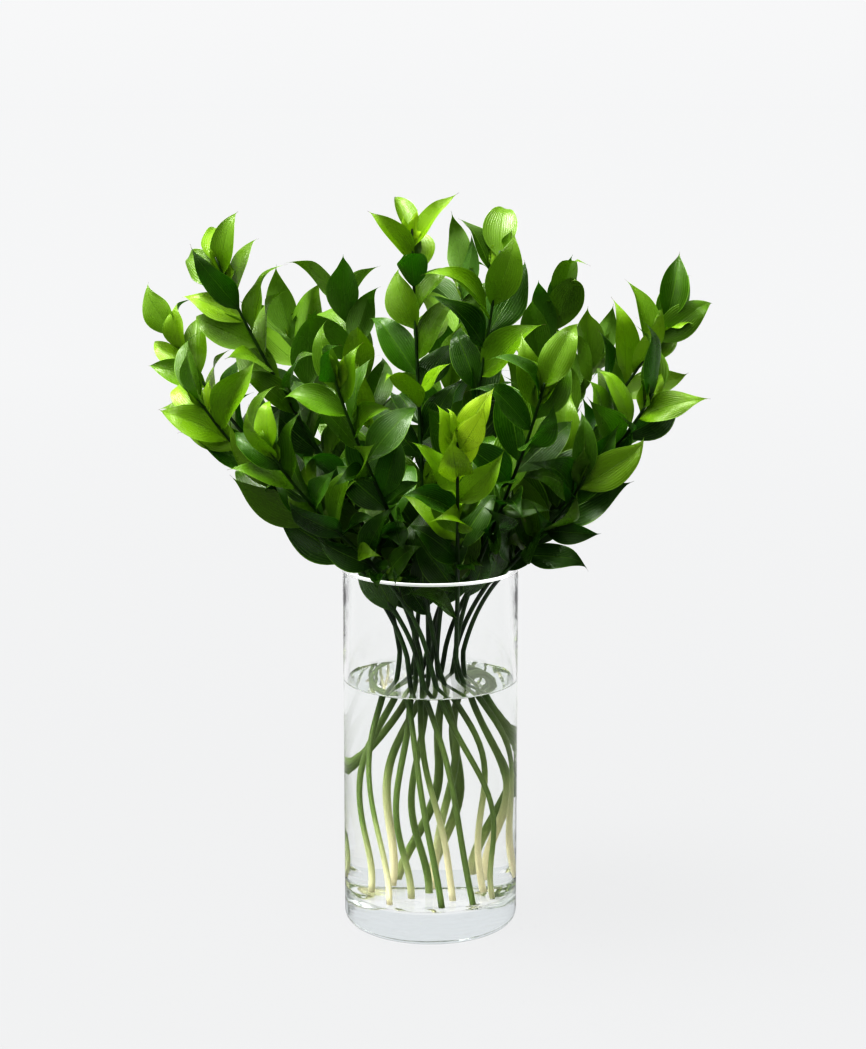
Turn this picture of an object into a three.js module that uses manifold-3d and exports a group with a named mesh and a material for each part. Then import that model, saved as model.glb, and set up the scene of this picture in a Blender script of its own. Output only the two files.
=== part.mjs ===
// A bunch of leafy ruscus stems standing in water in a clear cylinder vase.
// Millimetres, +Z up, origin at the centre of the vase's underside.
import * as THREE from "three";
import { mergeVertices } from "three/addons/utils/BufferGeometryUtils.js";
import Module from "manifold-3d";

const wasm = await Module();
wasm.setup();

// ---- Driving dimensions ----
const VASE = { radius: 72.5, height: 305, wall: 3, floor: 28, heel: 9, fillet: 5, sides: 32 };
const WATER_LEVEL = 208;
const SEAT_GAP = 0.3; // left between pieces that touch

const WAIST = { height: 230, radius: 30, twistLength: 112, turnDeg: 48 };
const RIM_PASS = { height: 313, radius: 58, spread: 1.75, turnDeg: 24 };
const STALK = { footRadius: 2.9, waistRadius: 2.4, tipRadius: 1.0, sides: 5, lowerSteps: 6, upperSteps: 7 };
const BOW = { outward: 18, stray: 9, sway: 6 }; // how far a stalk bends off its straight ruling in the water
const STALK_GAP = 1.8; // kept between one stalk and the next, and between a stalk and the glass
const HOLE_CLEARANCE = 0.5; // between a stalk and the hole it stands in

const LEAF = { length: 71, aspect: 0.5, keel: 1.6, stations: [0.2, 0.5, 0.8] };
const LEAF_GAP = 0.6; // kept between one leaf and the next
const NEAREST_CORNERS = 0.004; // allowed between two corners of a solid
const INTERNODE = { first: 16, last: 7 };
const FIRST_LEAF_HEIGHT = 293;
const LOW_LEAVES = [-1, -2]; // those that grow below the first, down in the vase's mouth
const DIVERGENCE_DEG = 137.5;
const LIFT = { first: 0.5, last: 0.2 }; // how far the leaves turn up to the light
const ROOT = 1.3; // how deep a leaf is sunk into its stalk
const UNDERSIDE = { radius: 80, height: 305, slope: 0.9 }; // the cone that no leaf tip hangs below
const BACK = 60; // leaves behind this face the back of the bunch

// Where each stem ends, and how it differs from the others: its leaf size, and the turn of its first leaf.
const STEMS = [
  { apex: [-15, 10, 580], size: 0.9, turn: 85 },
  { apex: [55, -30, 565], size: 1, turn: 280 },
  { apex: [-170, -30, 560], size: 0.9, turn: 105 },
  { apex: [-75, 90, 520], size: 0.95, turn: 230 },
  { apex: [110, 70, 515], size: 0.95, turn: 45 },
  { apex: [195, 15, 510], size: 1, turn: 140 },
  { apex: [-215, 35, 495], size: 0.85, turn: 295 },
  { apex: [-185, -60, 455], size: 1, turn: 325 },
  { apex: [-125, -105, 420], size: 0.8, turn: 320 },
  { apex: [175, -60, 455], size: 1.05, turn: 330 },
  { apex: [120, -95, 395], size: 1.05, turn: 230 },
  { apex: [20, -185, 445], size: 0.8, turn: 185 },
  { apex: [-75, -125, 485], size: 0.85, turn: 125 },
  { apex: [85, -150, 475], size: 1, turn: 60 },
  { apex: [-125, 175, 480], size: 1.05, turn: 300 },
  { apex: [30, 190, 530], size: 1, turn: 285 },
  { apex: [145, 145, 465], size: 1.05, turn: 55 },
];

// ---- Helpers ----
const radians = THREE.MathUtils.degToRad;
const mix = THREE.MathUtils.lerp;

// A repeatable draw between -1 and 1 for a stem, a leaf and a purpose.
function draw(stem, leaf, purpose) {
  const wave = Math.sin(stem * 127.1 + leaf * 311.7 + purpose * 74.7) * 43758.5453;
  return 2 * (wave - Math.floor(wave)) - 1;
}

function turned(x, y, angle) {
  return [x * Math.cos(angle) - y * Math.sin(angle), x * Math.sin(angle) + y * Math.cos(angle)];
}

// A closed mesh as a manifold-3d solid.
function solidOf(geometry) {
  const bare = new THREE.BufferGeometry().setAttribute("position", geometry.getAttribute("position"));
  if (geometry.index) bare.setIndex(geometry.index);
  const merged = mergeVertices(bare, 1e-4);
  return new wasm.Manifold(
    new wasm.Mesh({
      numProp: 3,
      vertProperties: new Float32Array(merged.attributes.position.array),
      triVerts: new Uint32Array(merged.index.array),
    }),
  );
}

function geometryOf(solid) {
  const { vertProperties, numProp, triVerts } = solid.getMesh();
  const positions = new Float32Array((vertProperties.length / numProp) * 3);
  for (let i = 0; i < positions.length / 3; i++)
    positions.set(vertProperties.subarray(i * numProp, i * numProp + 3), i * 3);
  return new THREE.BufferGeometry()
    .setAttribute("position", new THREE.BufferAttribute(positions, 3))
    .setIndex(new THREE.BufferAttribute(new Uint32Array(triVerts), 1));
}

function solidFrom(points, faces) {
  return solidOf(new THREE.BufferGeometry().setFromPoints(points).setIndex(faces.flat()));
}

// A round body from its outline, drawn from the axis round to the axis and standing on +Z.
function turnedSolid(outline) {
  return solidOf(new THREE.LatheGeometry(outline, VASE.sides).rotateX(Math.PI / 2));
}

// Points along a quarter or half turn of an outline.
function arc(x, z, radius, fromDeg, toDeg, steps) {
  return Array.from({ length: steps + 1 }, (_, i) => {
    const angle = radians(mix(fromDeg, toDeg, i / steps));
    return new THREE.Vector2(x + radius * Math.cos(angle), z + radius * Math.sin(angle));
  });
}

// ---- Vase: blown glass, a heavy floor, a rounded heel and a fire-polished rim ----
function vase() {
  const { radius, height, wall, floor, heel, fillet } = VASE;
  const inner = radius - wall;
  const lip = wall / 2;
  const outline = [
    new THREE.Vector2(0, 0),
    ...arc(radius - heel, heel, heel, -90, 0, 3),
    ...arc(radius - lip, height - lip, lip, 0, 180, 4),
    ...arc(inner - fillet, floor + fillet, fillet, 0, -90, 2),
    new THREE.Vector2(0, floor),
  ];
  return turnedSolid(outline);
}

// ---- Stalks ----
// The ways a stalk may bend in the water: the first as it would alone, the others swayed back or less bowed.
const BENDS = [1, 0.75, 0.5, 0.25, 0].flatMap((bow) => [1, -1].map((sway) => ({ bow, sway })));

// The stalks cross in the vase as the rulings of a hyperboloid do, each bent a little off its ruling.
function stalkRoute({ apex: [x, y, z] }, index, bend) {
  const lean = Math.hypot(x, y) / (z - WAIST.height);
  const bearing = Math.atan2(y, x);
  const waistRadius = WAIST.radius * Math.min(lean, 1);
  const waist = turned(waistRadius, 0, bearing + radians(WAIST.turnDeg));
  const slope = [waist[1] / WAIST.twistLength, -waist[0] / WAIST.twistLength];
  const footHeight = VASE.floor + SEAT_GAP;
  const drop = WAIST.height - footHeight;
  const middle = Math.atan2(waist[1] - slope[1] * 0.5 * drop, waist[0] - slope[0] * 0.5 * drop);
  const bow = turned(BOW.outward, BOW.stray * draw(index, 0, 1), middle).map((value) => value * bend.bow);
  const sway = turned(BOW.sway * bend.sway, 0, Math.PI * draw(index, 0, 2));
  const lower = (t) => {
    const below = drop * (1 - t);
    const belly = Math.sin(Math.PI * t) ** 2;
    const wave = Math.sin(Math.PI * t) * Math.sin(2 * Math.PI * t);
    return new THREE.Vector3(
      waist[0] - slope[0] * below + bow[0] * belly + sway[0] * wave,
      waist[1] - slope[1] * below + bow[1] * belly + sway[1] * wave,
      footHeight + drop * t,
    );
  };
  const start = lower(1);
  const end = new THREE.Vector3(x, y, z);
  const passRadius = Math.min(waistRadius * RIM_PASS.spread, RIM_PASS.radius);
  const pass = turned(passRadius, 0, bearing + radians(RIM_PASS.turnDeg));
  const span = end.distanceTo(start);
  const finish = end.clone().sub(start).normalize().add(new THREE.Vector3(0, 0, 0.25)).normalize();
  const upper = new THREE.CubicBezierCurve3(
    start,
    new THREE.Vector3(pass[0], pass[1], RIM_PASS.height),
    end.clone().addScaledVector(finish, -0.35 * span),
    end,
  );
  return { lower, upper };
}

// Rings of points round the stalk, from the level foot to the tip. Above the waist the rings are parallel,
// so that the stalk's long faces are flat.
function stalkRings({ lower, upper }, swell) {
  const stops = [];
  for (let i = 0; i < STALK.lowerSteps; i++) {
    const t = i / STALK.lowerSteps;
    const along = i === 0 ? new THREE.Vector3(0, 0, 1) : lower(t + 0.01).sub(lower(t - 0.01));
    stops.push({ at: lower(t), along, radius: mix(STALK.footRadius, STALK.waistRadius, t) });
  }
  const chord = upper.v3.clone().sub(upper.v0);
  for (let i = 0; i <= STALK.upperSteps; i++) {
    const t = i / STALK.upperSteps;
    stops.push({ at: upper.getPoint(t), along: chord, radius: mix(STALK.waistRadius, STALK.tipRadius, t) });
  }
  return stops.map(({ at, along, radius }) => {
    const axis = along.clone().normalize();
    const side = new THREE.Vector3(1, 0, 0).addScaledVector(axis, -axis.x).normalize();
    const other = axis.clone().cross(side);
    return Array.from({ length: STALK.sides }, (_, k) => {
      const angle = (2 * Math.PI * k) / STALK.sides;
      return at
        .clone()
        .addScaledVector(side, (radius + swell) * Math.cos(angle))
        .addScaledVector(other, (radius + swell) * Math.sin(angle));
    });
  });
}

function tube(rings) {
  const n = rings[0].length;
  const faces = [];
  for (let r = 0; r + 1 < rings.length; r++)
    for (let k = 0; k < n; k++) {
      const [a, b] = [r * n + k, r * n + ((k + 1) % n)];
      faces.push([a, b, b + n], [a, b + n, a + n]);
    }
  const last = (rings.length - 1) * n;
  for (let k = 1; k + 1 < n; k++) faces.push([0, k + 1, k], [last, last + k, last + k + 1]);
  return solidFrom(rings.flat(), faces);
}

// ---- Leaves ----
// A twisted four-cornered panel as two triangles, folded so that it bulges outwards.
function panel(points, [a, b, c, d]) {
  const outward = new THREE.Triangle(points[a], points[b], points[c]).getNormal(new THREE.Vector3());
  const hollow = points[d].clone().sub(points[a]).dot(outward) > 0;
  return hollow ? [[a, b, d], [b, c, d]] : [[a, b, c], [a, c, d]];
}

// One blade: three sections and two points. Each section is flat above and keeled below at the midrib,
// which bends back and twists along the leaf.
function blade({ at, heading, face, length, width, bend, twist }, from = 0) {
  const side = heading.clone().cross(face).normalize();
  const halfWidth = (u) => (width / 2) * (u / 0.4) ** 0.8 * ((1 - u) / 0.6) ** 1.2;
  const sectionAt = (u) => {
    const angle = bend * u;
    const rib = at
      .clone()
      .addScaledVector(heading, (length * Math.sin(angle)) / bend)
      .addScaledVector(face, (-length * (1 - Math.cos(angle))) / bend);
    const up = face.clone().multiplyScalar(Math.cos(angle)).addScaledVector(heading, Math.sin(angle));
    return {
      rib,
      side: side.clone().multiplyScalar(Math.cos(twist * u)).addScaledVector(up, Math.sin(twist * u)),
      up: up.multiplyScalar(Math.cos(twist * u)).addScaledVector(side, -Math.sin(twist * u)),
    };
  };
  const points = [sectionAt(from).rib];
  for (const u of LEAF.stations) {
    const { rib, side: edge, up } = sectionAt(u);
    points.push(
      rib.clone().addScaledVector(edge, -halfWidth(u)),
      rib.clone().addScaledVector(edge, halfWidth(u)),
      rib.clone().addScaledVector(up, -LEAF.keel),
    );
  }
  points.push(sectionAt(1).rib);
  const last = LEAF.stations.length - 1;
  const faces = [];
  for (let i = 0; i <= last; i++) {
    const [left, right, keel] = [1, 2, 3].map((k) => k + 3 * i);
    if (i === 0) faces.push([0, right, left], [0, left, keel], [0, keel, right]);
    if (i === last) faces.push([left, right, keel + 1], [keel, left, keel + 1], [right, keel, keel + 1]);
    else
      for (const [a, b] of [[left, right], [right, keel], [keel, left]])
        faces.push(...panel(points, [a, b, b + 3, a + 3]));
  }
  return solidFrom(points, faces);
}

function tipOf({ at, heading, face, length, bend }) {
  return at
    .clone()
    .addScaledVector(heading, (length * Math.sin(bend)) / bend)
    .addScaledVector(face, (-length * (1 - Math.cos(bend))) / bend);
}

function hangsLow(shape) {
  const tip = tipOf(shape);
  return tip.z < UNDERSIDE.height + UNDERSIDE.slope * (Math.hypot(tip.x, tip.y) - UNDERSIDE.radius);
}

// The ways a leaf may grow: the first as it would alone, the others turned, tilted or smaller to get clear.
const [TURNS, TILTS] = [[0, 24, -24, 48, -48, 75, -75], [0, -14, 14]];
const WAYS = TURNS.flatMap((turnDeg) => TILTS.map((tiltDeg) => ({ turnDeg, tiltDeg })));
const TRIES = [1, 0.85].flatMap((size) => WAYS.map((way) => ({ size, ...way })));

function leafAt(stem, index, number, route, attempt) {
  const share = number / (route.leaves - 1);
  const t = mix(route.firstLeaf, 0.985, share * mix(1.25, 1, share));
  const along = route.upper.getTangent(t);
  const across = new THREE.Vector3(0, 0, 1).cross(along).normalize();
  const other = along.clone().cross(across);
  const turn = radians(stem.turn + number * DIVERGENCE_DEG + draw(index, number, 3) * 14 + attempt.turnDeg);
  const tilt = radians(mix(52, 26, share ** 2) + draw(index, number, 4) * 12 + attempt.tiltDeg);
  const outward = across.clone().multiplyScalar(Math.cos(turn)).addScaledVector(other, Math.sin(turn));
  const depth = Math.max(mix(STALK.waistRadius, STALK.tipRadius, t) - ROOT, 0);
  const at = route.upper.getPoint(t).addScaledVector(outward, depth);
  const heading = along
    .clone()
    .multiplyScalar(Math.cos(tilt))
    .addScaledVector(outward, Math.sin(tilt))
    .add(new THREE.Vector3(0, 0, mix(LIFT.first, LIFT.last, share)))
    .normalize();
  // The upper face looks up the stalk and out of the bunch, to its front or its back.
  const stray = new THREE.Vector3(...[11, 12, 13].map((purpose) => draw(index, number, purpose)));
  const light = new THREE.Vector3(at.x / 300, at.y > BACK ? 0.9 : -0.9, 0.35)
    .addScaledVector(along, 0.5)
    .addScaledVector(stray, 0.7);
  const face = light.addScaledVector(heading, -light.dot(heading)).normalize();
  const sizes = mix(1.05, 0.82, share ** 2) * (1 + draw(index, number, 6) * 0.1) * attempt.size;
  const length = LEAF.length * stem.size * sizes;
  return {
    at,
    heading,
    face,
    length,
    width: length * LEAF.aspect * (1 + draw(index, number, 7) * 0.12),
    bend: radians(34 + draw(index, number, 8) * 28),
    twist: radians(draw(index, number, 9) * 32),
  };
}

// ---- The bunch ----
const vaseSolid = vase();
const boxed = (solid) => {
  const { min, max } = solid.boundingBox();
  return { solid, box: new THREE.Box3(new THREE.Vector3(...min), new THREE.Vector3(...max)) };
};
const meets = (one, many) =>
  many.some(({ solid, box }) => one.box.intersectsBox(box) && !one.solid.intersect(solid).isEmpty());

// Each stalk takes the first bend that clears the vase and the stalks before it.
const stalks = [];
const routes = STEMS.map((stem, index) => {
  const rivals = [vaseSolid, ...stalks].map(boxed);
  const fits = (way) => !meets(boxed(tube(stalkRings(way, STALK_GAP)).translate(0, 0, STALK_GAP)), rivals);
  const route = BENDS.map((bend) => stalkRoute(stem, index, bend)).find(fits);
  stalks.push(tube(stalkRings(route, 0)));
  let t = 0;
  while (route.upper.getPoint(t).z < FIRST_LEAF_HEIGHT) t += 0.01;
  const length = route.upper.getLength() * (1 - t);
  return { ...route, firstLeaf: t, leaves: Math.round((2 * length) / (INTERNODE.first + INTERNODE.last)) };
});

// A leaf is clear where it fits as it is and a gap above and below, a gap wider all round.
const isClear = (shape, rivals) =>
  [0, LEAF_GAP, -LEAF_GAP].every((shift) => {
    const at = shape.at.clone().addScaledVector(shape.face, shift);
    return !meets(boxed(blade({ ...shape, at, width: shape.width + 2 * LEAF_GAP })), rivals);
  });

// A join is sound where it leaves one body and no two corners so close that they would fall together.
function isSound(solid) {
  const { vertProperties, numProp } = solid.getMesh();
  const corners = vertProperties.length / numProp;
  const cells = new Set();
  for (let i = 0; i < corners; i++) {
    const corner = vertProperties.subarray(i * numProp, i * numProp + 3);
    cells.add(Array.from(corner, (value) => Math.round(value / NEAREST_CORNERS)).join());
  }
  return cells.size === corners && solid.decompose().length === 1;
}

const fixed = [vaseSolid, ...stalks].map(boxed);
const grown = [];
function leafyStem(stem, index) {
  const route = routes[index];
  const rivals = [...fixed.filter((_, i) => i !== index + 1), ...grown];
  const own = [];
  let body = stalks[index];
  for (const number of [...Array(route.leaves).keys(), ...LOW_LEAVES]) {
    for (const attempt of TRIES) {
      const shape = leafAt(stem, index, number, route, attempt);
      if (hangsLow(shape) || !isClear(shape, rivals) || meets(boxed(blade(shape, 0.08)), own)) continue;
      const leaf = blade(shape);
      const joined = body.add(leaf);
      if (!isSound(joined)) continue;
      body = joined;
      own.push(boxed(leaf));
      break;
    }
  }
  grown.push(...own);
  return body;
}

const bunch = new THREE.Group();
const clear = { metalness: 0, transparent: true };
const glass = new THREE.MeshStandardMaterial({ ...clear, color: 0xe9f0ee, roughness: 0.03, opacity: 0.3 });
const liquid = new THREE.MeshStandardMaterial({ ...clear, color: 0xdfe9e6, roughness: 0.02, opacity: 0.4 });
const leafGreen = new THREE.MeshStandardMaterial({ color: 0x2f6b12, roughness: 0.38, metalness: 0 });

function addNode(name, solid, material) {
  const mesh = new THREE.Mesh(geometryOf(solid), material);
  mesh.name = name;
  bunch.add(mesh);
}

addNode("vase", vaseSolid, glass);

// Water fills the vase to its level, with a plain hole for each stalk.
const poolRadius = VASE.radius - VASE.wall - SEAT_GAP;
const poolFloor = VASE.floor + SEAT_GAP;
const pool = turnedSolid([
  new THREE.Vector2(0, poolFloor),
  ...arc(poolRadius - VASE.fillet, poolFloor + VASE.fillet, VASE.fillet, -90, 0, 2),
  new THREE.Vector2(poolRadius, WATER_LEVEL),
  new THREE.Vector2(0, WATER_LEVEL),
]);
const holes = routes.map((route) => {
  const rings = stalkRings(route, HOLE_CLEARANCE);
  const [foot, next] = rings;
  const extra = 2 / (next[0].z - foot[0].z);
  const below = foot.map((p, i) => p.clone().addScaledVector(p.clone().sub(next[i]), extra));
  return tube([below, ...rings.slice(1)]);
});
addNode("water", wasm.Manifold.difference([pool, ...holes]), liquid);

STEMS.forEach((stem, index) => {
  addNode(`stem_${String(index + 1).padStart(2, "0")}`, leafyStem(stem, index), leafGreen);
});

export default bunch;
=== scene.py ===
import math

import bmesh
import bpy
import numpy as np
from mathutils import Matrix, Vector, kdtree


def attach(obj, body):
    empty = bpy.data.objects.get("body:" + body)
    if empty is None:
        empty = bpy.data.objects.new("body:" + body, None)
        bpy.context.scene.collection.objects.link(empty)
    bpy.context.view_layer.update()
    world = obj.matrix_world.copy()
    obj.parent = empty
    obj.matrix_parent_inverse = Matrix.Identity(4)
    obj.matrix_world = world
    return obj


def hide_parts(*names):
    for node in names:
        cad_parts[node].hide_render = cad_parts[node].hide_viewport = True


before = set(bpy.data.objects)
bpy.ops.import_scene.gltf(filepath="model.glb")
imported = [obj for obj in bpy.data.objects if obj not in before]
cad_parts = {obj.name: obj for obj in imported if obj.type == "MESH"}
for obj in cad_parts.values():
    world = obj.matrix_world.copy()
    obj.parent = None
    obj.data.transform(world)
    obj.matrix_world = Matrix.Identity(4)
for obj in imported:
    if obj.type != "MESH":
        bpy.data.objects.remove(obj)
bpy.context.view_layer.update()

scene = bpy.context.scene
MM = 0.001  # sizes are in millimetres, and the scene is in metres

# ---- Vase ----
# A plain cylinder of clear soda glass with a heavy floor, a rounded heel and a rounded rim. It is blown
# into a mould in one piece, and the cut rim is melted smooth in a flame. It stands on its flat bottom.
VASE_RADIUS = 72.5
VASE_HEIGHT = 305
VASE_WALL = 3
VASE_FLOOR = 28
VASE_HEEL = 9
VASE_FILLET = 5
HEEL_STEPS = 10
RIM_STEPS = 12
FILLET_STEPS = 8
ROUND_SIDES = 128
SHARP_ANGLE = math.radians(45)
GLASS_TINT = (0.995, 0.998, 0.996)
BASE_TINT = (0.83, 0.865, 0.875)
GLASS_SHADOW = (0.94, 0.95, 0.95)
GLASS_IOR = 1.46
WATER_IOR = 1.33
WET_HEIGHT = 210.2
WALL_MIRRORING = 0.25
RIPPLE_SCALE = 45
BASE_RIPPLE = 0.001  # the ripples are in metres
DRY_RIPPLE = 0.0001
WET_RIPPLE = 0.0004
# The melted rim looks a little hazy, and a painted glow makes it brighter than the wall below.
RIM_DEPTH = 2.6
RIM_HAZE = 0.8
RIM_PAINTED_GLOW = 0.3


def arc(x, z, radius, start, end, steps):
    """Points of an outline's rounded corner, from one angle to another in degrees."""
    angles = [math.radians(start + (end - start) * i / steps) for i in range(steps + 1)]
    return [(x + radius * math.cos(a), z + radius * math.sin(a)) for a in angles]


def turned_piece(name, outline, *stretches):
    """A round piece from half of its outline, drawn from the axis out and back to the axis.

    Each stretch of the outline is the number of its first point and its material.
    """
    bm = bmesh.new()
    turns = [2 * math.pi * k / ROUND_SIDES for k in range(ROUND_SIDES)]
    rings = []
    for x, z in outline:
        if x < 1e-6:
            rings.append([bm.verts.new((0, 0, z * MM))] * ROUND_SIDES)
        else:
            circle = [(x * MM * math.cos(a), x * MM * math.sin(a), z * MM) for a in turns]
            rings.append([bm.verts.new(point) for point in circle])
    for ring, (low, high) in enumerate(zip(rings, rings[1:])):
        for k in range(ROUND_SIDES):
            after = (k + 1) % ROUND_SIDES
            corners = [low[k], low[after], high[after], high[k]]
            face = bm.faces.new(list(dict.fromkeys(corners)))
            face.material_index = sum(ring >= start for start, _ in stretches) - 1
    bmesh.ops.recalc_face_normals(bm, faces=bm.faces)
    mesh = bpy.data.meshes.new(name)
    bm.to_mesh(mesh)
    bm.free()
    mesh.shade_smooth()
    mesh.set_sharp_from_angle(angle=SHARP_ANGLE)
    for _, material in stretches:
        mesh.materials.append(material)
    piece = bpy.data.objects.new(name, mesh)
    scene.collection.objects.link(piece)
    return piece


def shader_node(tree, kind, inputs=None, **settings):
    """A new shader node. Each input, by name or number, is a plain value or another node's output."""
    made = tree.nodes.new("ShaderNode" + kind)
    for name, value in settings.items():
        setattr(made, name, value)
    for key, value in (inputs or {}).items():
        if isinstance(value, bpy.types.NodeSocket):
            tree.links.new(value, made.inputs[key])
        else:
            made.inputs[key].default_value = value
    return made


def new_material(name):
    """A new material, with its node tree and its Principled shader."""
    material = bpy.data.materials.new(name)
    material.use_nodes = True
    return material, material.node_tree, material.node_tree.nodes["Principled BSDF"]


def make_uneven_surface():
    """Slow, shallow rises and dips, as moulded glass and barely moving water have."""
    group = bpy.data.node_groups.new("uneven_surface", "ShaderNodeTree")
    group.interface.new_socket("Scale", in_out="INPUT", socket_type="NodeSocketFloat")
    group.interface.new_socket("Height", in_out="OUTPUT", socket_type="NodeSocketFloat")
    given, out = group.nodes.new("NodeGroupInput"), group.nodes.new("NodeGroupOutput")
    place = shader_node(group, "TexCoord").outputs["Object"]
    wanted = {"Vector": place, "Scale": given.outputs["Scale"], "Detail": 1}
    dips = shader_node(group, "TexNoise", wanted)
    group.links.new(dips.outputs[0], out.inputs["Height"])
    return group


def clear_material(name, tint, ior, shadow, ripple):
    """A clear body that lets light pass on to what stands in, behind and below it.

    Returns the material and its Principled shader. The ripple is how high its surface rises, in metres.
    """
    material, tree, body = new_material(name)
    body.inputs["Base Color"].default_value = (*tint, 1)
    body.inputs["Roughness"].default_value = 0
    body.inputs["IOR"].default_value = ior
    body.inputs["Transmission Weight"].default_value = 1
    surface = shader_node(tree, "Group", node_tree=uneven_surface)
    surface.inputs["Scale"].default_value = RIPPLE_SCALE
    height = surface.outputs["Height"]
    bump = shader_node(tree, "Bump", {"Strength": 1, "Distance": ripple, "Height": height})
    tree.links.new(bump.outputs[0], body.inputs["Normal"])
    passing = shader_node(tree, "BsdfTransparent", {"Color": (*shadow, 1)})
    ray = shader_node(tree, "LightPath")
    ways = {0: ray.outputs["Is Shadow Ray"], 1: body.outputs[0], 2: passing.outputs[0]}
    mix = shader_node(tree, "MixShader", ways)
    tree.links.new(mix.outputs[0], tree.nodes["Material Output"].inputs["Surface"])
    return material, body


uneven_surface = make_uneven_surface()
inner_radius = VASE_RADIUS - VASE_WALL
lip = VASE_WALL / 2
vase_outline = [
    (0, 0),
    *arc(VASE_RADIUS - VASE_HEEL, VASE_HEEL, VASE_HEEL, -90, 0, HEEL_STEPS),
    (VASE_RADIUS, VASE_FLOOR),
    (VASE_RADIUS, VASE_HEIGHT - RIM_DEPTH),
    *arc(VASE_RADIUS - lip, VASE_HEIGHT - lip, lip, 0, 180, RIM_STEPS),
    (inner_radius, WET_HEIGHT),
    *arc(inner_radius - VASE_FILLET, VASE_FLOOR + VASE_FILLET, VASE_FILLET, 0, -90, FILLET_STEPS),
    (0, VASE_FLOOR),
]
wall_from = vase_outline.index((VASE_RADIUS, VASE_FLOOR))
rim_from = vase_outline.index((VASE_RADIUS, VASE_HEIGHT - RIM_DEPTH))
wet_from = vase_outline.index((inner_radius, WET_HEIGHT))
heavy_glass, _ = clear_material("heavy_glass", BASE_TINT, GLASS_IOR, GLASS_SHADOW, BASE_RIPPLE)
clear_glass, wall = clear_material("clear_glass", GLASS_TINT, GLASS_IOR, GLASS_SHADOW, DRY_RIPPLE)
wall.inputs["Specular Tint"].default_value = (*[WALL_MIRRORING] * 3, 1)
wet_glass, _ = clear_material("wet_glass", GLASS_TINT, GLASS_IOR / WATER_IOR, GLASS_SHADOW, WET_RIPPLE)
rim_glass, rim = clear_material("rim_glass", GLASS_TINT, GLASS_IOR, GLASS_SHADOW, DRY_RIPPLE)
rim.inputs["Roughness"].default_value = RIM_HAZE
# Painted glow: the rim glass is given emission, though it is no lamp.
rim.inputs["Emission Strength"].default_value = RIM_PAINTED_GLOW
stretches = [(0, heavy_glass), (wall_from, clear_glass), (rim_from, rim_glass)]
stretches += [(wet_from - 1, clear_glass), (wet_from, wet_glass)]
vase = turned_piece("glass_vase", vase_outline, *stretches)
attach(vase, "root")
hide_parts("vase")

# ---- Water ----
# Tap water, filled to two thirds. It wets the glass, so its surface climbs a little at the wall. Where it
# lies against the glass, the wet glass bends the light, and the water's own side and foot bend none.
WATER_LEVEL = 208
CLIMB_HEIGHT = WET_HEIGHT - WATER_LEVEL
CLIMB_WIDTH = 1.6
CLIMB_RINGS = (0, 0.6, 1.3, 2.2, 3.4, 5, 8)
FROM_GLASS = 0.02
STILL_RIPPLE = 0.0001
WATER_TINT = (0.992, 0.998, 0.995)
WATER_SHADOW = (0.98, 0.99, 0.99)

water_radius = inner_radius - FROM_GLASS
water_floor = VASE_FLOOR + FROM_GLASS
water_outline = [
    (0, water_floor),
    *arc(water_radius - VASE_FILLET, water_floor + VASE_FILLET, VASE_FILLET, -90, 0, FILLET_STEPS),
    *[(water_radius - r, WATER_LEVEL + CLIMB_HEIGHT * math.exp(-r / CLIMB_WIDTH)) for r in CLIMB_RINGS],
    (0, WATER_LEVEL),
]
surface_from = len(water_outline) - len(CLIMB_RINGS) - 1
against_glass, _ = clear_material("water_against_glass", WATER_TINT, 1, WATER_SHADOW, 0)
still_water, _ = clear_material("still_water", WATER_TINT, WATER_IOR, WATER_SHADOW, STILL_RIPPLE)
water = turned_piece("vase_water", water_outline, (0, against_glass), (surface_from, still_water))
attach(water, "root")
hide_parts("water")

# ---- Stalks ----
# Each stem is one tough round stalk, finely ribbed, cut at its foot and a little thicker where a leaf
# grows. It stands on the vase's floor, passes its neighbours at the bunch's waist, and leans on out.
WAIST_HEIGHT = 230
WAIST_RADIUS = 30
WAIST_TURN = math.radians(48)
TWIST_LENGTH = 112
RIM_HEIGHT = 313
RIM_RADIUS = 58
RIM_SPREAD = 1.75
RIM_TURN = math.radians(24)
SEAT_GAP = 0.3
FOOT_HEIGHT = VASE_FLOOR + SEAT_GAP
FOOT_RADIUS = 2.9
WAIST_STALK_RADIUS = 2.4
TIP_RADIUS = 1.0
TIP_RISE = 0.25
TIP_PULL = 0.35
# In the water a stalk leans back past its neighbours, bows outwards and sways.
BOW_OUTWARD = 18
BOW_STRAY = 9
SWAY = 6
CORNER_REACH = 0.05  # how near a solid's corner lies to the place worked out for it
ROUND_SHARE = 0.84  # the round stalk's radius beside that of the five-sided bar it stands for
STALK_SIDES = 12
LOWER_RINGS = 26
UPPER_RINGS = 46
KNUCKLE = 0.14
KNUCKLE_TIGHTNESS = 60
# Each stalk is blanched below a height of its own, and all are a little paler in the water.
PALE_LOWEST = 40
PALE_HIGHEST = 190
PALE_OVER = 120
SOAKED = 0.3
SOAKED_OVER = 40
STALK_RIBS = 14
STALK_DARK = (0.006, 0.022, 0.003)
STALK_LIGHT = (0.035, 0.090, 0.010)
BLANCHED_GREEN = (0.23, 0.31, 0.10)
BLANCHED_CREAM = (0.74, 0.69, 0.46)

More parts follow.
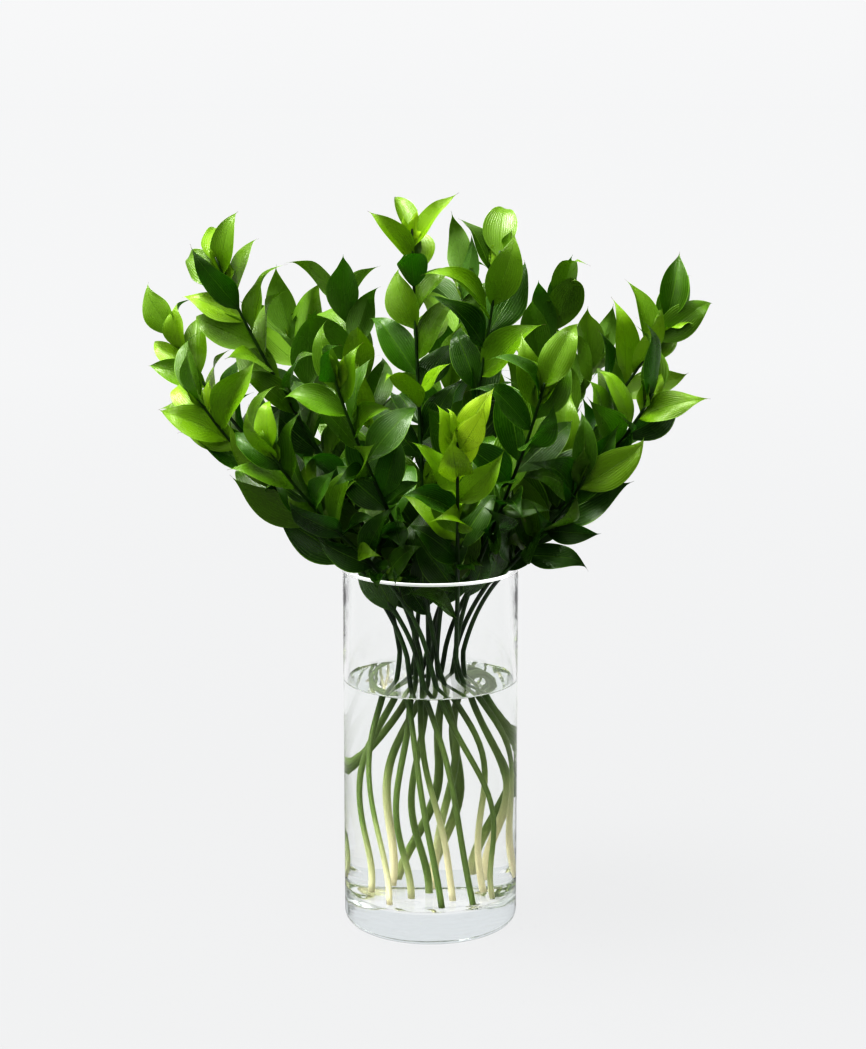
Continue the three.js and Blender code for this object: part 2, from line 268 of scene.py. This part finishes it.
# Where each stem ends, the size of its leaves, the turn of its first leaf, and how young its leaves are.
STEMS = [
    ((-15, 10, 580), 0.9, 85, 0.3),
    ((55, -30, 565), 1, 280, 0.15),
    ((-170, -30, 560), 0.9, 105, 0.3),
    ((-75, 90, 520), 0.95, 230, 0.4),
    ((110, 70, 515), 0.95, 45, 0.35),
    ((195, 15, 510), 1, 140, 0.25),
    ((-215, 35, 495), 0.85, 295, 0.3),
    ((-185, -60, 455), 1, 325, 0.25),
    ((-125, -105, 420), 0.8, 320, 0.2),
    ((175, -60, 455), 1.05, 330, 0.1),
    ((120, -95, 395), 1.05, 230, 0.15),
    ((20, -185, 445), 0.8, 185, 0.4),
    ((-75, -125, 485), 0.85, 125, 0.15),
    ((85, -150, 475), 1, 60, 0.05),
    ((-125, 175, 480), 1.05, 300, 0.35),
    ((30, 190, 530), 1, 285, 0.35),
    ((145, 145, 465), 1.05, 55, 0.3),
]
FRESH_TIP = 11  # the one stem, counted from 0, whose top leaves have only just unrolled


def draw(stem, leaf, purpose):
    """A repeatable draw between -1 and 1 for a stem, a leaf and a purpose."""
    wave = math.sin(stem * 127.1 + leaf * 311.7 + purpose * 74.7) * 43758.5453
    return 2 * (wave - math.floor(wave)) - 1


def mixed(a, b, share):
    return a + (b - a) * share


def clamped(value):
    return min(max(value, 0), 1)


def unit(v):
    return v / math.sqrt(v @ v)


def on_circle(radius, angle):
    return np.array([radius * math.cos(angle), radius * math.sin(angle)])


# How a stalk may have bent in the water: bowed outwards in full or less, and swayed either way.
BENDS = [(bow, sway) for bow in (1, 0.75, 0.5, 0.25, 0) for sway in (1, -1)]


class Stalk:
    """The line a stalk follows: a foot that leans and bends in the water, then one curve to the tip."""

    def __init__(self, index, apex, bend):
        x, y, z = apex
        lean = math.hypot(x, y) / (z - WAIST_HEIGHT)
        bearing = math.atan2(y, x)
        radius = WAIST_RADIUS * min(lean, 1)
        self.waist = on_circle(radius, bearing + WAIST_TURN)
        self.slope = np.array([self.waist[1], -self.waist[0]]) / TWIST_LENGTH
        outward = unit(self.waist - self.slope * (WAIST_HEIGHT - FOOT_HEIGHT) / 2)
        across = np.array([-outward[1], outward[0]])
        self.bow = (BOW_OUTWARD * outward + BOW_STRAY * draw(index, 0, 1) * across) * bend[0]
        self.sway = on_circle(SWAY, math.pi * draw(index, 0, 2)) * bend[1]
        end = np.array(apex, float)
        start = np.array([*self.waist, WAIST_HEIGHT])
        at_rim = on_circle(min(radius * RIM_SPREAD, RIM_RADIUS), bearing + RIM_TURN)
        finish = unit(unit(end - start) + np.array([0, 0, TIP_RISE]))
        before_end = end - TIP_PULL * math.dist(start, end) * finish
        self.knots = [start, np.array([*at_rim, RIM_HEIGHT]), before_end, end]

    def foot(self, t):
        below = (WAIST_HEIGHT - FOOT_HEIGHT) * (1 - t)
        belly = math.sin(math.pi * t) ** 2
        wave = math.sin(math.pi * t) * math.sin(2 * math.pi * t)
        x, y = self.waist - self.slope * below + self.bow * belly + self.sway * wave
        return np.array([x, y, WAIST_HEIGHT - below])

    def point(self, t):
        a, b, c, d = self.knots
        s = 1 - t
        return s**3 * a + 3 * s * s * t * b + 3 * s * t * t * c + t**3 * d

    def along(self, t):
        return unit(self.point(min(t + 1e-4, 1)) - self.point(max(t - 1e-4, 0)))

    def length(self):
        points = [self.point(i / 200) for i in range(201)]
        return sum(math.dist(p, q) for p, q in zip(points, points[1:]))

    def is_in(self, solid):
        """Whether the stem's solid has a corner where this stalk would give it one in the water."""
        axis = unit(self.foot(0.51) - self.foot(0.49))
        side = unit(np.array([1, 0, 0]) - axis * axis[0])
        corner = self.foot(0.5) + mixed(FOOT_RADIUS, WAIST_STALK_RADIUS, 0.5) * side
        return solid.find(tuple(corner * MM))[2] < CORNER_REACH * MM


def mesh_piece(name, points, faces, uvs, material, **attributes):
    """A smooth piece from points in millimetres. Each further name is a float attribute of its points."""
    mesh = bpy.data.meshes.new(name)
    mesh.from_pydata([tuple(p * MM) for p in points], [], faces)
    for label, values in attributes.items():
        mesh.attributes.new(label, "FLOAT", "POINT").data.foreach_set("value", values)
    corners = np.zeros(len(mesh.loops), np.int32)
    mesh.loops.foreach_get("vertex_index", corners)
    mesh.uv_layers.new(name="UVMap").data.foreach_set("uv", np.array(uvs, np.float32)[corners].ravel())
    mesh.shade_smooth()
    mesh.materials.append(material)
    piece = bpy.data.objects.new(name, mesh)
    scene.collection.objects.link(piece)
    return piece


def blended(tree, share, first, second):
    """A colour between two. Each is a triple or another node's output, and so is the share."""
    first, second = ((*c, 1) if isinstance(c, tuple) else c for c in (first, second))
    inputs = {0: share, 6: first, 7: second}
    return shader_node(tree, "Mix", inputs, data_type="RGBA").outputs[2]


def ranged(tree, value, low, high, start=0, end=1):
    """A value carried from one range to another, and kept inside it."""
    inputs = {"Value": value, "From Min": low, "From Max": high, "To Min": start, "To Max": end}
    return shader_node(tree, "MapRange", inputs).outputs[0]


def calculated(tree, operation, first, second=0):
    return shader_node(tree, "Math", {0: first, 1: second}, operation=operation).outputs[0]


def make_plant_mottling():
    """Living plant skin: soft patches of tone, and a fine pebbled height."""
    group = bpy.data.node_groups.new("plant_mottling", "ShaderNodeTree")
    new_socket = group.interface.new_socket
    new_socket("Patch Scale", in_out="INPUT", socket_type="NodeSocketFloat")
    new_socket("Grain Scale", in_out="INPUT", socket_type="NodeSocketFloat")
    new_socket("Tone", in_out="OUTPUT", socket_type="NodeSocketFloat")
    new_socket("Height", in_out="OUTPUT", socket_type="NodeSocketFloat")
    given, out = group.nodes.new("NodeGroupInput"), group.nodes.new("NodeGroupOutput")
    place = shader_node(group, "TexCoord").outputs["Object"]
    wanted = {"Vector": place, "Scale": given.outputs["Patch Scale"], "Detail": 3}
    patches = shader_node(group, "TexNoise", wanted)
    wanted = {"Vector": place, "Scale": given.outputs["Grain Scale"], "Detail": 2}
    grain = shader_node(group, "TexNoise", wanted)
    group.links.new(ranged(group, patches.outputs[0], 0.3, 0.7), out.inputs["Tone"])
    group.links.new(grain.outputs[0], out.inputs["Height"])
    return group


plant_mottling = make_plant_mottling()
stalk_skin, tree, skin = new_material("stalk_skin")
patches = shader_node(tree, "Group", node_tree=plant_mottling)
patches.inputs["Patch Scale"].default_value = 70
patches.inputs["Grain Scale"].default_value = 900
blanch = shader_node(tree, "Attribute", attribute_name="blanch").outputs["Fac"]
green = blended(tree, patches.outputs["Tone"], STALK_DARK, STALK_LIGHT)
paling = blended(tree, ranged(tree, blanch, 0, 0.5), green, BLANCHED_GREEN)
colour = blended(tree, ranged(tree, blanch, 0.4, 1), paling, BLANCHED_CREAM)
tree.links.new(colour, skin.inputs["Base Color"])
skin.inputs["Roughness"].default_value = 0.42
around = shader_node(tree, "SeparateXYZ", {0: shader_node(tree, "UVMap").outputs["UV"]}).outputs["X"]
ribs = calculated(tree, "SINE", calculated(tree, "MULTIPLY", around, STALK_RIBS * math.pi))
relief = calculated(tree, "ADD", calculated(tree, "MULTIPLY", ribs, 0.4), patches.outputs["Height"])
bump = shader_node(tree, "Bump", {"Strength": 0.4, "Distance": 0.0003, "Height": relief})
tree.links.new(bump.outputs[0], skin.inputs["Normal"])


def stalk_piece(index, stalk, scars):
    """A round stalk with a knuckle at each leaf, green above and blanched towards its foot."""
    stops = []
    for i in range(LOWER_RINGS):
        t = i / LOWER_RINGS
        stops.append((stalk.foot(t), mixed(FOOT_RADIUS, WAIST_STALK_RADIUS, t)))
    for i in range(UPPER_RINGS + 1):
        t = i / UPPER_RINGS
        nearness = [math.exp(-(((t - scar) * KNUCKLE_TIGHTNESS) ** 2)) for scar in scars]
        swell = KNUCKLE * max(nearness, default=0)
        stops.append((stalk.point(t), mixed(WAIST_STALK_RADIUS, TIP_RADIUS, t) * (1 + swell)))
    centres = np.array([centre for centre, _ in stops])
    runs = np.gradient(centres, axis=0)
    runs[0] = (0, 0, 1)  # cut level
    pale_below = mixed(PALE_LOWEST, PALE_HIGHEST, 0.5 + 0.5 * draw(index, 0, 21))
    points, uvs, blanch = [], [], []
    for k, ((centre, radius), run) in enumerate(zip(stops, runs)):
        axis = unit(run)
        side = unit(np.array([1, 0, 0]) - axis * axis[0])
        other = np.cross(axis, side)
        soaked = SOAKED * clamped((WATER_LEVEL - centre[2]) / SOAKED_OVER)
        paled = max(clamped((pale_below - centre[2]) / PALE_OVER), soaked)
        for s in range(STALK_SIDES):
            turn = 2 * math.pi * s / STALK_SIDES
            points.append(centre + ROUND_SHARE * radius * (math.cos(turn) * side + math.sin(turn) * other))
            uvs.append((abs(2 * s / STALK_SIDES - 1), k / len(stops)))
            blanch.append(paled)
    faces = []
    for k in range(len(stops) - 1):
        for s in range(STALK_SIDES):
            a, b = k * STALK_SIDES + s, k * STALK_SIDES + (s + 1) % STALK_SIDES
            faces.append((a, b, b + STALK_SIDES, a + STALK_SIDES))
    faces.append(tuple(range(STALK_SIDES))[::-1])
    faces.append(tuple(range(len(points) - STALK_SIDES, len(points))))
    return mesh_piece(f"stalk_{index + 1:02d}", points, faces, uvs, stalk_skin, blanch=blanch)


# ---- Leaves ----
# What pass for leaves on ruscus are flattened shoots: stiff, glossy blades with long parallel veins, a
# sunk midrib and a fine dry spine for a tip. They grow up the stalk in a spiral and turn to the light.
FIRST_LEAF_HEIGHT = 293
LOW_LEAVES = (-1, -2)
FIRST_GAP = 16
LAST_GAP = 7
DIVERGENCE = 137.5
TURN_STRAY = 14
LAST_LEAF_AT = 0.985
LOW_SPREAD = 1.25
FIRST_TILT = 52
LAST_TILT = 26
TILT_STRAY = 12
FIRST_LIFT = 0.5
LAST_LIFT = 0.2
LEAF_LENGTH = 71
FIRST_SIZE = 1.05
LAST_SIZE = 0.82
SIZE_STRAY = 0.1
LEAF_ASPECT = 0.5
ASPECT_STRAY = 0.12
LEAF_KEEL = 1.6
PLAIN_BROADEST = 0.4
ROOT = 1.3
BEND = 34
BEND_STRAY = 28
TWIST_STRAY = 32
# The upper face looks up the stalk and out of the bunch: aside, to its front or its back, and up.
BACK = 60
ASIDE_REACH = 300
OUTWARDS = 0.9
UPWARDS = 0.35
ALONG_STALK = 0.5
FACING_STRAY = 0.7
# The thin curled blade: its outline, the fold at its midrib, its curled sides, hooked tip and wavy edge.
SPINE = 1.05
SLENDER = 0.9
BROADEST = 0.42
POINTEDNESS = 1.38
NECK = 0.8
POINT = 0.12
FOLD = 15
FOLD_STRAY = 13
CURL = 0.26
HOOK = 1.5
HOOK_STRAY = 0.8
SWING = 0.9
TIP_FROM = 0.7
WAVE = 2.8
WAVES = 9
WAVES_APART = 1.9
FULL_HALF_WIDTH = 6  # narrower parts fold and wave less
ROWS = 18
ROW_CROWDING = 1.15
COLUMNS = 10
# How young a leaf is, and how light its green: more so up the stem, and most at the one fresh tip. The
# darker green low on a stem is partly the older leaves' own colour and partly painted shade inside the
# bunch.
YOUNG_START = -0.38
YOUNG_RISE = 0.42
YOUNG_STRAY = 0.36
YOUNG_TIP = 0.6
YOUNG_TIP_FROM = 0.65
YOUNG_SMALL = 0.2
TONE_START = 0.15
TONE_RISE_AGE_AND_SHADE = 0.5
TONE_STRAY = 0.45
LEAF_VEINS = 15
SUMMER_DARK = (0.003, 0.018, 0.001)
SUMMER_LIGHT = (0.055, 0.145, 0.004)
SPRING = (0.245, 0.405, 0.014)
LIME = (0.390, 0.545, 0.040)
UNDERSIDE = (0.080, 0.150, 0.035)
PALE_VEIN_AND_EDGE = (0.180, 0.320, 0.040)
SPINE_BROWN = (0.060, 0.030, 0.010)
LET_THROUGH = 0.16
THROUGH_SUMMER = (0.060, 0.250, 0.001)
THROUGH_SPRING = (0.440, 0.640, 0.008)

leaf_skin, tree, skin = new_material("leaf_skin")
patches = shader_node(tree, "Group", node_tree=plant_mottling)
patches.inputs["Patch Scale"].default_value = 45
patches.inputs["Grain Scale"].default_value = 1400
young = shader_node(tree, "Attribute", attribute_name="young").outputs["Fac"]
tone = shader_node(tree, "Attribute", attribute_name="tone").outputs["Fac"]
place = shader_node(tree, "SeparateXYZ", {0: shader_node(tree, "UVMap").outputs["UV"]})
off_rib = calculated(tree, "ABSOLUTE", ranged(tree, place.outputs["Y"], 0, 1, -1, 1))
lines = calculated(tree, "SINE", calculated(tree, "MULTIPLY", off_rib, LEAF_VEINS * math.pi))
veins = ranged(tree, lines, 0.3, 1)
midrib = ranged(tree, off_rib, 0, 0.05, 1, 0)
# Painted highlight: each leaf's edge is painted paler, where it would catch the light.
edge_highlight = ranged(tree, off_rib, 0.92, 0.97)
spine = ranged(tree, place.outputs["X"], 0.955, 0.975)
mottle = calculated(tree, "MULTIPLY", patches.outputs["Tone"], 0.4)
variation = calculated(tree, "ADD", mottle, calculated(tree, "MULTIPLY", tone, 0.6))
summer = blended(tree, variation, SUMMER_DARK, SUMMER_LIGHT)
fresh = blended(tree, ranged(tree, young, 0, 0.7), summer, SPRING)
limed = blended(tree, ranged(tree, young, 0.7, 1), fresh, LIME)
veined = blended(tree, calculated(tree, "MULTIPLY", veins, 0.22), limed, PALE_VEIN_AND_EDGE)
# The pale midrib is the leaf's own colour; the pale edge is a painted highlight.
pale_rib_and_painted_edge = calculated(tree, "MULTIPLY", calculated(tree, "MAXIMUM", midrib, edge_highlight), 0.5)
ribbed = blended(tree, pale_rib_and_painted_edge, veined, PALE_VEIN_AND_EDGE)
back = shader_node(tree, "NewGeometry").outputs["Backfacing"]
two_sided = blended(tree, calculated(tree, "MULTIPLY", back, 0.55), ribbed, UNDERSIDE)
colour = blended(tree, spine, two_sided, SPINE_BROWN)
tree.links.new(colour, skin.inputs["Base Color"])
tree.links.new(ranged(tree, patches.outputs["Tone"], 0, 1, 0.20, 0.33), skin.inputs["Roughness"])
ridges = calculated(tree, "SUBTRACT", calculated(tree, "MULTIPLY", veins, 0.5), midrib)
relief = calculated(tree, "ADD", ridges, calculated(tree, "MULTIPLY", patches.outputs["Height"], 0.6))
bump = shader_node(tree, "Bump", {"Strength": 0.65, "Distance": 0.0005, "Height": relief})
tree.links.new(bump.outputs[0], skin.inputs["Normal"])
through = blended(tree, young, THROUGH_SUMMER, THROUGH_SPRING)
glow = shader_node(tree, "BsdfTranslucent", {"Color": through, "Normal": bump.outputs[0]})
mix = shader_node(tree, "MixShader", {0: LET_THROUGH, 1: skin.outputs[0], 2: glow.outputs[0]})
tree.links.new(mix.outputs[0], tree.nodes["Material Output"].inputs["Surface"])

# The ways a leaf may have grown: as it would alone, or turned, tilted or smaller to get clear of others.
TURNS = (0, 24, -24, 48, -48, 75, -75)
WAYS = [(size, turn, tilt) for size in (1, 0.85) for turn in TURNS for tilt in (0, -14, 14)]

# The small leaves of each stem, up its lower half and at its tip: each one's place up the leafy part, its
# size beside a full leaf's, and how far it turns and tilts.
LOWER_SMALL_LEAVES = [
    (0.05, 0.5, 70, 25),
    (0.11, 0.45, -60, 30),
    (0.17, 0.5, 10, 22),
    (0.26, 0.66, 40, 20),
    (0.36, 0.64, -30, 20),
    (0.5, 0.6, 90, 15),
]
TIP_SMALL_LEAVES = [(share, 0.5, 60, -14) for share in (0.91, 0.94, 0.97)]
SMALL_LEAVES = LOWER_SMALL_LEAVES + TIP_SMALL_LEAVES
RIM_CLEARANCE = 3


class Leaf:
    """How one leaf grows: from where, which way, and how it bends and twists."""

    def __init__(self, index, number, share, stalk, first, size, first_turn, way):
        smaller, turned, tilted = way
        t = mixed(first, LAST_LEAF_AT, share * mixed(LOW_SPREAD, 1, share))
        along = stalk.along(t)
        across = unit(np.cross([0, 0, 1], along))
        other = np.cross(along, across)
        turned += first_turn + number * DIVERGENCE + draw(index, number, 3) * TURN_STRAY
        tilted += mixed(FIRST_TILT, LAST_TILT, share**2) + draw(index, number, 4) * TILT_STRAY
        turn, tilt = math.radians(turned), math.radians(tilted)
        outward = across * math.cos(turn) + other * math.sin(turn)
        depth = max(mixed(WAIST_STALK_RADIUS, TIP_RADIUS, t) - ROOT, 0)
        self.t = t
        self.at = stalk.point(t) + outward * depth
        lift = np.array([0, 0, mixed(FIRST_LIFT, LAST_LIFT, share)])
        self.heading = unit(along * math.cos(tilt) + outward * math.sin(tilt) + lift)
        stray = np.array([draw(index, number, purpose) for purpose in (11, 12, 13)])
        outwards = OUTWARDS if self.at[1] > BACK else -OUTWARDS
        light = np.array([self.at[0] / ASIDE_REACH, outwards, UPWARDS])
        light = light + ALONG_STALK * along + FACING_STRAY * stray
        self.face = unit(light - self.heading * (light @ self.heading))
        self.side = unit(np.cross(self.heading, self.face))
        grown = mixed(FIRST_SIZE, LAST_SIZE, share**2) * (1 + draw(index, number, 6) * SIZE_STRAY)
        self.length = LEAF_LENGTH * size * grown * smaller
        self.width = self.length * LEAF_ASPECT * (1 + draw(index, number, 7) * ASPECT_STRAY)
        self.bend = math.radians(BEND + draw(index, number, 8) * BEND_STRAY)
        self.twist = math.radians(draw(index, number, 9) * TWIST_STRAY)

    def half_width(self, u):
        """Half the width of the solid's plain blade at a share of its length."""
        to_base, to_tip = u / PLAIN_BROADEST, max(1 - u, 0) / (1 - PLAIN_BROADEST)
        return self.width / 2 * to_base**0.8 * to_tip**1.2

    def section(self, u):
        """The midrib's place at a share of the length, and the ways across and up from it."""
        angle, turn = self.bend * u, self.twist * u
        run, fall = math.sin(angle) / self.bend, (1 - math.cos(angle)) / self.bend
        rib = self.at + self.length * (run * self.heading - fall * self.face)
        up = math.cos(angle) * self.face + math.sin(angle) * self.heading
        edge = math.cos(turn) * self.side + math.sin(turn) * up
        return rib, edge, math.cos(turn) * up - math.sin(turn) * self.side

    def is_in(self, solid):
        """Whether most corners of this leaf's plain blade are corners of the stem's solid too."""
        corners = [self.section(1)[0]]
        for u in (0.2, 0.5, 0.8):
            rib, edge, up = self.section(u)
            half = edge * self.half_width(u)
            corners += [rib - half, rib + half, rib - up * LEAF_KEEL]
        return sum(solid.find(tuple(corner * MM))[2] < CORNER_REACH * MM for corner in corners) >= 6


def leaf_blade(leaf, index, number):
    """A leaf's points, row by row from its base to its spine, and their places along and across it."""
    fold = math.tan(math.radians(FOLD + FOLD_STRAY * draw(index, number, 31)))
    curl = CURL * draw(index, number, 33)
    hook = HOOK * (1 + HOOK_STRAY * draw(index, number, 34))
    swing = SWING * draw(index, number, 35)
    wave, phase = WAVE * draw(index, number, 36), 3 * draw(index, number, 32)
    points, uvs = [], []
    for row in range(ROWS + 1):
        u = SPINE * (1 - (1 - row / ROWS) ** ROW_CROWDING)
        rib, edge, up = leaf.section(u)
        outline = (u / BROADEST) * (max(1 - u, 0) / (1 - BROADEST)) ** POINTEDNESS
        half = max(leaf.width / 2 * SLENDER * outline, mixed(NECK, POINT, clamped(u)))
        broad = min(1, half / FULL_HALF_WIDTH)
        tip = leaf.length * max(u - TIP_FROM, 0) ** 2
        for column in range(COLUMNS + 1):
            v = 2 * column / COLUMNS - 1
            rise = fold * half * abs(v) ** 1.3 * broad + curl * half * abs(v) ** 3
            apart = WAVES_APART if v > 0 else 0
            ripple = wave * v * v * math.sin(WAVES * u + phase + apart) * broad
            raised = rise + ripple - LEAF_KEEL * broad - hook * tip
            points.append(rib + edge * (v * half * math.cos(fold) + swing * tip) + up * raised)
            uvs.append((u / SPINE, (v + 1) / 2))
    return points, uvs


def is_off_glass(points):
    """Whether none of a blade's points lies in the vase's wall."""
    mid_wall = VASE_RADIUS - VASE_WALL / 2
    low = [p for p in points if p[2] < VASE_HEIGHT + 1]
    return all(abs(math.hypot(p[0], p[1]) - mid_wall) >= RIM_CLEARANCE for p in low)


grid = [(row * (COLUMNS + 1) + column) for row in range(ROWS) for column in range(COLUMNS)]
blade_faces = np.array([(a, a + 1, a + COLUMNS + 2, a + COLUMNS + 1) for a in grid])
per_blade = (ROWS + 1) * (COLUMNS + 1)

# Each stem is worked out again by the rule that made its solid, and the stalk and the leaves whose corners
# the solid has are the ones that it grew. So every curled leaf lies on its plain one.
for index, (apex, size, first_turn, age) in enumerate(STEMS):
    node = f"stem_{index + 1:02d}"
    solid = kdtree.KDTree(len(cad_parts[node].data.vertices))
    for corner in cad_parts[node].data.vertices:
        solid.insert(corner.co, corner.index)
    solid.balance()
    stalks = (Stalk(index, apex, bend) for bend in BENDS)
    stalk = next(way for way in stalks if way.is_in(solid))
    first = 0
    while stalk.point(first)[2] < FIRST_LEAF_HEIGHT:
        first += 0.01
    count = math.floor(2 * stalk.length() * (1 - first) / (FIRST_GAP + LAST_GAP) + 0.5)
    points, faces, uvs, young, tone, scars = [], [], [], [], [], []
    # A stem's leaves come first, then its small leaves, and last those that hang in the vase's mouth.
    for number in (*range(count + len(SMALL_LEAVES)), *LOW_LEAVES):
        if number < count:
            share = number / (count - 1)
            ways = (Leaf(index, number, share, stalk, first, size, first_turn, way) for way in WAYS)
            leaf = next((way for way in ways if way.is_in(solid)), None)
        else:
            share, smaller, turned, tilted = SMALL_LEAVES[number - count]
            ways = ((smaller, turned + turn, tilted) for turn in TURNS)
            grown = (Leaf(index, number, share, stalk, first, size, first_turn, way) for way in ways)
            leaf = next((way for way in grown if is_off_glass(leaf_blade(way, index, number)[0])), None)
        if leaf is None:
            continue
        blade, places = leaf_blade(leaf, index, number)
        faces += (blade_faces + len(points)).tolist()
        points += blade
        uvs += places
        scars.append(leaf.t)
        freshness = age + YOUNG_START + YOUNG_RISE * share + YOUNG_STRAY * draw(index, number, 41)
        if index == FRESH_TIP and share > YOUNG_TIP_FROM:
            freshness += YOUNG_TIP
        elif number >= count:
            freshness += YOUNG_SMALL
        young += [clamped(freshness)] * per_blade
        # Leaves low on a stem are darker, partly from their age and partly as painted shade inside the
        # bunch.
        age_and_shade_lightness = TONE_START + TONE_RISE_AGE_AND_SHADE * share + TONE_STRAY * draw(index, number, 42)
        tone += [clamped(age_and_shade_lightness)] * per_blade
    leaves = mesh_piece(f"leaves_{index + 1:02d}", points, faces, uvs, leaf_skin, young=young, tone=tone)
    for piece in (stalk_piece(index, stalk, scars), leaves):
        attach(piece, "root")
        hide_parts(node)

# ---- Studio ----
# A seamless pale floor in a plain pale room, with one broad soft light high on the left. The room lights
# the bunch from its bright upper side, and shows itself as an even white behind it.
FLOOR_REACH = 300
FLOOR_CORNERS = [(x * FLOOR_REACH, y * FLOOR_REACH) for x, y in ((-1, -1), (1, -1), (1, 1), (-1, 1))]
FLOOR_GAP = 0.0002
FLOOR_COLOUR = (0.011, 0.011, 0.011)
# Painted shade: the floor glows a little less near the vase than far from it.
FLOOR_SHADED_NEAR = 0.917
FLOOR_FAR = 0.945
FLOOR_BOUNCE = 0.45
ROOM_WHITE = (0.550, 0.552, 0.555)
ROOM_TOP = (0.566, 0.566, 0.568)
ROOM_EDGE = 0.2
ROOM_CORE = 0.95
ROOM_DIM = 0.02
ROOM_BRIGHT = 2.3
BRIGHT_SIDE = Vector((-0.35, -0.2, 0.9))
KEY_FROM = Vector((-0.36, -0.08, 0.93))
KEY_STRENGTH = 4.7
KEY_SPREAD = 30
SHINE_NEAR = 0.5
SHINE_FAR = 4
MIRRORED_FLOOR = (0.2, 0.6)  # how far behind the vase the floor begins to show in mirrors, and does in full
MIRRORED_ROOM = (0.4, 0.8)  # the same for the room, as a share of straight back
BACKDROP_BLEND = 0.1
CAMERA_LENS = 75.5
CAMERA_SENSOR = 36
CAMERA_AT = (0.0021, -1.777, 0.679)
CAMERA_DIP = 10.83


def seen_share(tree, mirrored):
    """1 where a thing is seen, openly or through glass, 0 where it lights, and as given in a mirror."""
    ray = shader_node(tree, "LightPath").outputs
    through = calculated(tree, "SUBTRACT", ray["Is Transmission Ray"], ray["Is Diffuse Ray"])
    glossy = calculated(tree, "MULTIPLY", ray["Is Glossy Ray"], mirrored)
    direct = calculated(tree, "MAXIMUM", ray["Is Camera Ray"], through)
    return calculated(tree, "MAXIMUM", direct, glossy)


floor_mesh = bpy.data.meshes.new("studio_floor")
floor_mesh.from_pydata([(x, y, -FLOOR_GAP) for x, y in FLOOR_CORNERS], [], [(0, 1, 2, 3)])
floor_paint, tree, paint = new_material("floor_paint")
paint.inputs["Base Color"].default_value = (*FLOOR_COLOUR, 1)
paint.inputs["Roughness"].default_value = 0.9
paint.inputs["Specular IOR Level"].default_value = 0
paint.inputs["Emission Color"].default_value = (*ROOM_WHITE, 1)
place = shader_node(tree, "TexCoord").outputs["Object"]
behind = ranged(tree, shader_node(tree, "SeparateXYZ", {0: place}).outputs["Y"], *MIRRORED_FLOOR)
reach = shader_node(tree, "VectorMath", {0: place}, operation="LENGTH").outputs["Value"]
# The floor's glow falls off towards the vase, as painted shade around it.
shaded_glow = ranged(tree, reach, SHINE_NEAR, SHINE_FAR, FLOOR_SHADED_NEAR, FLOOR_FAR)
strength = shader_node(tree, "Mix", {0: seen_share(tree, behind), 2: FLOOR_BOUNCE, 3: shaded_glow}).outputs[0]
tree.links.new(strength, paint.inputs["Emission Strength"])
floor_mesh.materials.append(floor_paint)
floor = bpy.data.objects.new("studio_floor", floor_mesh)
scene.collection.objects.link(floor)

room = bpy.data.worlds.new("studio_room")
room.use_nodes = True
scene.world = room
tree = room.node_tree
direction = shader_node(tree, "TexCoord").outputs["Generated"]
compared = {0: direction, 1: BRIGHT_SIDE.normalized()}
toward = shader_node(tree, "VectorMath", compared, operation="DOT_PRODUCT").outputs["Value"]
glow = ranged(tree, toward, ROOM_EDGE, ROOM_CORE, ROOM_DIM, ROOM_BRIGHT)
heading = shader_node(tree, "SeparateXYZ", {0: direction}).outputs
seen = seen_share(tree, ranged(tree, heading["Y"], *MIRRORED_ROOM))
backdrop = blended(tree, ranged(tree, heading["Z"], 0, BACKDROP_BLEND), ROOM_WHITE, ROOM_TOP)
background = tree.nodes["Background"]
tree.links.new(blended(tree, seen, (1, 1, 1), backdrop), background.inputs["Color"])
strength = shader_node(tree, "Mix", {0: seen, 2: glow, 3: 1}).outputs[0]
tree.links.new(strength, background.inputs["Strength"])

key_light = bpy.data.lights.new("key_light", "SUN")
key_light.energy = KEY_STRENGTH
key_light.angle = math.radians(KEY_SPREAD)
key = bpy.data.objects.new("key_light", key_light)
key.rotation_euler = KEY_FROM.to_track_quat("Z", "Y").to_euler()
scene.collection.objects.link(key)

camera_data = bpy.data.cameras.new("studio_camera")
camera_data.lens = CAMERA_LENS
camera_data.sensor_width = CAMERA_SENSOR
camera = bpy.data.objects.new("studio_camera", camera_data)
camera.location = CAMERA_AT
camera.rotation_euler = (math.radians(90 - CAMERA_DIP), 0, 0)
scene.collection.objects.link(camera)
scene.camera = camera
# Light crosses many walls of glass and water, and is mirrored inside them, before it comes out again.
scene.cycles.max_bounces = 64
scene.cycles.transmission_bounces = 64
scene.cycles.glossy_bounces = 48
scene.view_settings.view_transform = "Standard"
scene.view_settings.look = "Very High Contrast"
